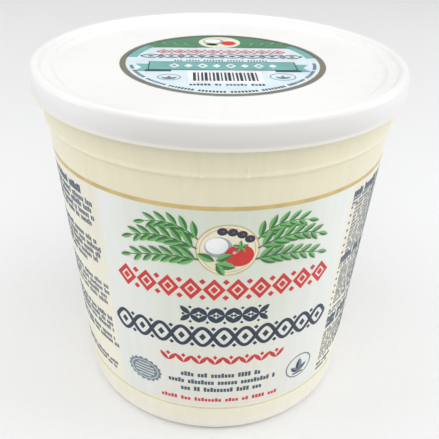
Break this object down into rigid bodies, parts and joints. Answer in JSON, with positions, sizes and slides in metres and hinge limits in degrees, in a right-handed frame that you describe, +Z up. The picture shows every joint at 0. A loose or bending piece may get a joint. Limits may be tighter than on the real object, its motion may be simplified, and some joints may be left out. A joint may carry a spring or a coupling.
{
  "type": "lidded tub of fresh cheese",
  "caption": "Shut round plastic tub of fresh mozzarella cheese: tapered milky wall with a stacking step, press-on white lid with a raised rim, and a round sticker on the lid.",
  "frame": {"origin": "centre of the base, on the surface the tub stands on", "axes": "+Z up along the tub's axis, -Y towards the printed front, +X to the viewer's right"},
  "size_m": [0.12, 0.12, 0.1212],
  "materials": {
    "tub_plastic": "milky cream, softly glossy, printed with gold bands and a pale front field",
    "lid_plastic": "opaque white, satin",
    "sticker_film": "printed film, satin"
  },
  "bodies": {
    "root": {"tub": "tub_plastic", "lid": "lid_plastic", "lid_sticker": "sticker_film"}
  },
  "joints": []
}
